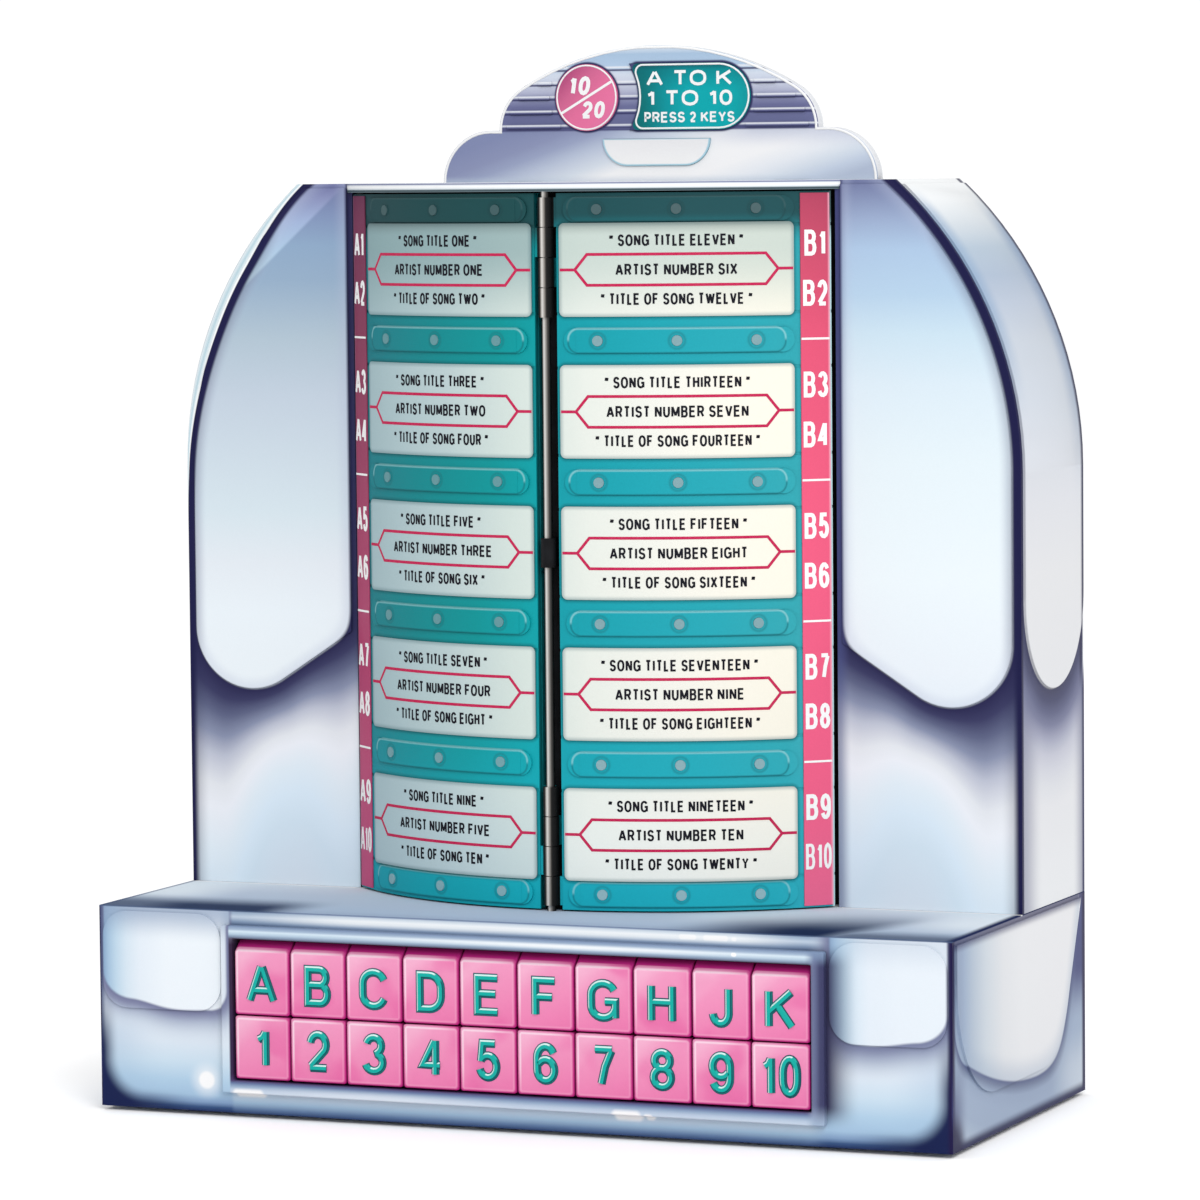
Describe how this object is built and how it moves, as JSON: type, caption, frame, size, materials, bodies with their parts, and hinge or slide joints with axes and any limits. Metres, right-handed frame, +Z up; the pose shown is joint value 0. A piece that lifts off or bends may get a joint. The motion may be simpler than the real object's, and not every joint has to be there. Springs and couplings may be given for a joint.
{
  "type": "tabletop jukebox",
  "caption": "Tabletop jukebox with an arched cabinet, bowed title pages that turn on a rod, two rows of press keys in the base and a domed crest.",
  "frame": {"origin": "middle of the overall box, at the underside of the rubber feet", "axes": "+X to the viewer's right, +Y to the rear (the keys face -Y), +Z up"},
  "size_m": [0.3066, 0.145, 0.36],
  "materials": {
    "base_enamel": "airbrushed enamel, glossy",
    "cabinet_enamel": "airbrushed enamel, glossy",
    "crest_enamel": "airbrushed enamel, glossy",
    "visor_enamel": "white enamel, glossy",
    "bezel_chrome": "bright plate",
    "key_magenta": "moulded, glossy",
    "key_pink": "moulded, glossy",
    "page_teal": "moulded, satin",
    "inner_teal": "moulded, satin",
    "drum_black": "black enamel, satin",
    "card_stock": "printed card",
    "index_stock": "printed card",
    "bright_steel": "bright",
    "sheet_steel": "grey enamel, satin",
    "rubber": "moulded",
    "board_green": "laminate",
    "black_plastic": "moulded",
    "pot_metal": "satin",
    "cone_paper": "pressed pulp",
    "magnet_iron": "ground",
    "disc_pink": "glossy",
    "sign_teal": "glossy",
    "window_white": "frosted"
  },
  "bodies": {
    "cabinet": {"base_shell": "base_enamel", "cabinet_shell": "cabinet_enamel", "crest_shell": "crest_enamel", "crest_back": "crest_enamel", "top_visor": "visor_enamel", "key_bezel": "bezel_chrome", "page_drum": "drum_black", "page_rod": "bright_steel", "rear_screws": "bright_steel", "base_screws": "bright_steel", "key_springs": "bright_steel", "coin_chute": "bright_steel", "bottom_plate": "sheet_steel", "rear_cover": "sheet_steel", "coin_box": "sheet_steel", "key_guide": "sheet_steel", "speaker_frames": "sheet_steel", "rubber_feet": "rubber", "cord_gland": "rubber", "switch_board": "board_green", "amplifier_board": "board_green", "key_switches": "black_plastic", "volume_pot": "pot_metal", "speaker_cones": "cone_paper", "speaker_magnets": "magnet_iron", "transformer": "magnet_iron", "price_disc": "disc_pink", "sign_panel": "sign_teal", "crest_window": "window_white"},
    "left_page": {"left_page": "page_teal", "left_title_cards": "card_stock", "left_index_strip": "index_stock", "left_page_rivets": "bright_steel"},
    "right_page": {"right_page": "page_teal", "right_title_cards": "card_stock", "right_index_strip": "index_stock", "right_page_rivets": "bright_steel"},
    "left_inner_page": {"left_inner_page": "inner_teal"},
    "right_inner_page": {"right_inner_page": "inner_teal"},
    "volume_wheel": {"volume_wheel": "black_plastic"},
    "key_a": {"key_a": "key_magenta"},
    "key_b": {"key_b": "key_magenta"},
    "key_c": {"key_c": "key_magenta"},
    "key_d": {"key_d": "key_magenta"},
    "key_e": {"key_e": "key_magenta"},
    "key_f": {"key_f": "key_magenta"},
    "key_g": {"key_g": "key_magenta"},
    "key_h": {"key_h": "key_magenta"},
    "key_j": {"key_j": "key_magenta"},
    "key_k": {"key_k": "key_magenta"},
    "key_1": {"key_1": "key_pink"},
    "key_2": {"key_2": "key_pink"},
    "key_3": {"key_3": "key_pink"},
    "key_4": {"key_4": "key_pink"},
    "key_5": {"key_5": "key_pink"},
    "key_6": {"key_6": "key_pink"},
    "key_7": {"key_7": "key_pink"},
    "key_8": {"key_8": "key_pink"},
    "key_9": {"key_9": "key_pink"},
    "key_10": {"key_10": "key_pink"}
  },
  "joints": [
    {"name": "left_page_turn", "type": "hinge", "parent": "cabinet", "child": "left_page", "pos_m": [0, -0.0361, 0.19], "axis": [0, 0, 1], "range_deg": [0, 75]},
    {"name": "left_inner_page_turn", "type": "hinge", "parent": "cabinet", "child": "left_inner_page", "pos_m": [0, -0.0361, 0.19], "axis": [0, 0, 1], "range_deg": [0, 38]},
    {"name": "right_page_turn", "type": "hinge", "parent": "cabinet", "child": "right_page", "pos_m": [0, -0.0361, 0.19], "axis": [0, 0, -1], "range_deg": [0, 75]},
    {"name": "right_inner_page_turn", "type": "hinge", "parent": "cabinet", "child": "right_inner_page", "pos_m": [0, -0.0361, 0.19], "axis": [0, 0, -1], "range_deg": [0, 38]},
    {"name": "volume_turn", "type": "hinge", "parent": "cabinet", "child": "volume_wheel", "pos_m": [-0.02, 0.0583, 0.034], "axis": [0, 0, 1], "range_deg": [-135, 135]},
    {"name": "key_a_press", "type": "slide", "parent": "cabinet", "child": "key_a", "axis": [0, 1, 0], "range_m": [0, 0.003], "stiffness_N_per_m": 250, "deforming": ["key_springs"]},
    {"name": "key_b_press", "type": "slide", "parent": "cabinet", "child": "key_b", "axis": [0, 1, 0], "range_m": [0, 0.003], "stiffness_N_per_m": 250, "deforming": ["key_springs"]},
    {"name": "key_c_press", "type": "slide", "parent": "cabinet", "child": "key_c", "axis": [0, 1, 0], "range_m": [0, 0.003], "stiffness_N_per_m": 250, "deforming": ["key_springs"]},
    {"name": "key_d_press", "type": "slide", "parent": "cabinet", "child": "key_d", "axis": [0, 1, 0], "range_m": [0, 0.003], "stiffness_N_per_m": 250, "deforming": ["key_springs"]},
    {"name": "key_e_press", "type": "slide", "parent": "cabinet", "child": "key_e", "axis": [0, 1, 0], "range_m": [0, 0.003], "stiffness_N_per_m": 250, "deforming": ["key_springs"]},
    {"name": "key_f_press", "type": "slide", "parent": "cabinet", "child": "key_f", "axis": [0, 1, 0], "range_m": [0, 0.003], "stiffness_N_per_m": 250, "deforming": ["key_springs"]},
    {"name": "key_g_press", "type": "slide", "parent": "cabinet", "child": "key_g", "axis": [0, 1, 0], "range_m": [0, 0.003], "stiffness_N_per_m": 250, "deforming": ["key_springs"]},
    {"name": "key_h_press", "type": "slide", "parent": "cabinet", "child": "key_h", "axis": [0, 1, 0], "range_m": [0, 0.003], "stiffness_N_per_m": 250, "deforming": ["key_springs"]},
    {"name": "key_j_press", "type": "slide", "parent": "cabinet", "child": "key_j", "axis": [0, 1, 0], "range_m": [0, 0.003], "stiffness_N_per_m": 250, "deforming": ["key_springs"]},
    {"name": "key_k_press", "type": "slide", "parent": "cabinet", "child": "key_k", "axis": [0, 1, 0], "range_m": [0, 0.003], "stiffness_N_per_m": 250, "deforming": ["key_springs"]},
    {"name": "key_1_press", "type": "slide", "parent": "cabinet", "child": "key_1", "axis": [0, 1, 0], "range_m": [0, 0.003], "stiffness_N_per_m": 250, "deforming": ["key_springs"]},
    {"name": "key_2_press", "type": "slide", "parent": "cabinet", "child": "key_2", "axis": [0, 1, 0], "range_m": [0, 0.003], "stiffness_N_per_m": 250, "deforming": ["key_springs"]},
    {"name": "key_3_press", "type": "slide", "parent": "cabinet", "child": "key_3", "axis": [0, 1, 0], "range_m": [0, 0.003], "stiffness_N_per_m": 250, "deforming": ["key_springs"]},
    {"name": "key_4_press", "type": "slide", "parent": "cabinet", "child": "key_4", "axis": [0, 1, 0], "range_m": [0, 0.003], "stiffness_N_per_m": 250, "deforming": ["key_springs"]},
    {"name": "key_5_press", "type": "slide", "parent": "cabinet", "child": "key_5", "axis": [0, 1, 0], "range_m": [0, 0.003], "stiffness_N_per_m": 250, "deforming": ["key_springs"]},
    {"name": "key_6_press", "type": "slide", "parent": "cabinet", "child": "key_6", "axis": [0, 1, 0], "range_m": [0, 0.003], "stiffness_N_per_m": 250, "deforming": ["key_springs"]},
    {"name": "key_7_press", "type": "slide", "parent": "cabinet", "child": "key_7", "axis": [0, 1, 0], "range_m": [0, 0.003], "stiffness_N_per_m": 250, "deforming": ["key_springs"]},
    {"name": "key_8_press", "type": "slide", "parent": "cabinet", "child": "key_8", "axis": [0, 1, 0], "range_m": [0, 0.003], "stiffness_N_per_m": 250, "deforming": ["key_springs"]},
    {"name": "key_9_press", "type": "slide", "parent": "cabinet", "child": "key_9", "axis": [0, 1, 0], "range_m": [0, 0.003], "stiffness_N_per_m": 250, "deforming": ["key_springs"]},
    {"name": "key_10_press", "type": "slide", "parent": "cabinet", "child": "key_10", "axis": [0, 1, 0], "range_m": [0, 0.003], "stiffness_N_per_m": 250, "deforming": ["key_springs"]}
  ],
  "couplings": [
    {"joint": "left_inner_page_turn", "follows": "left_page_turn", "ratio": 0.5},
    {"joint": "right_inner_page_turn", "follows": "right_page_turn", "ratio": 0.5}
  ]
}
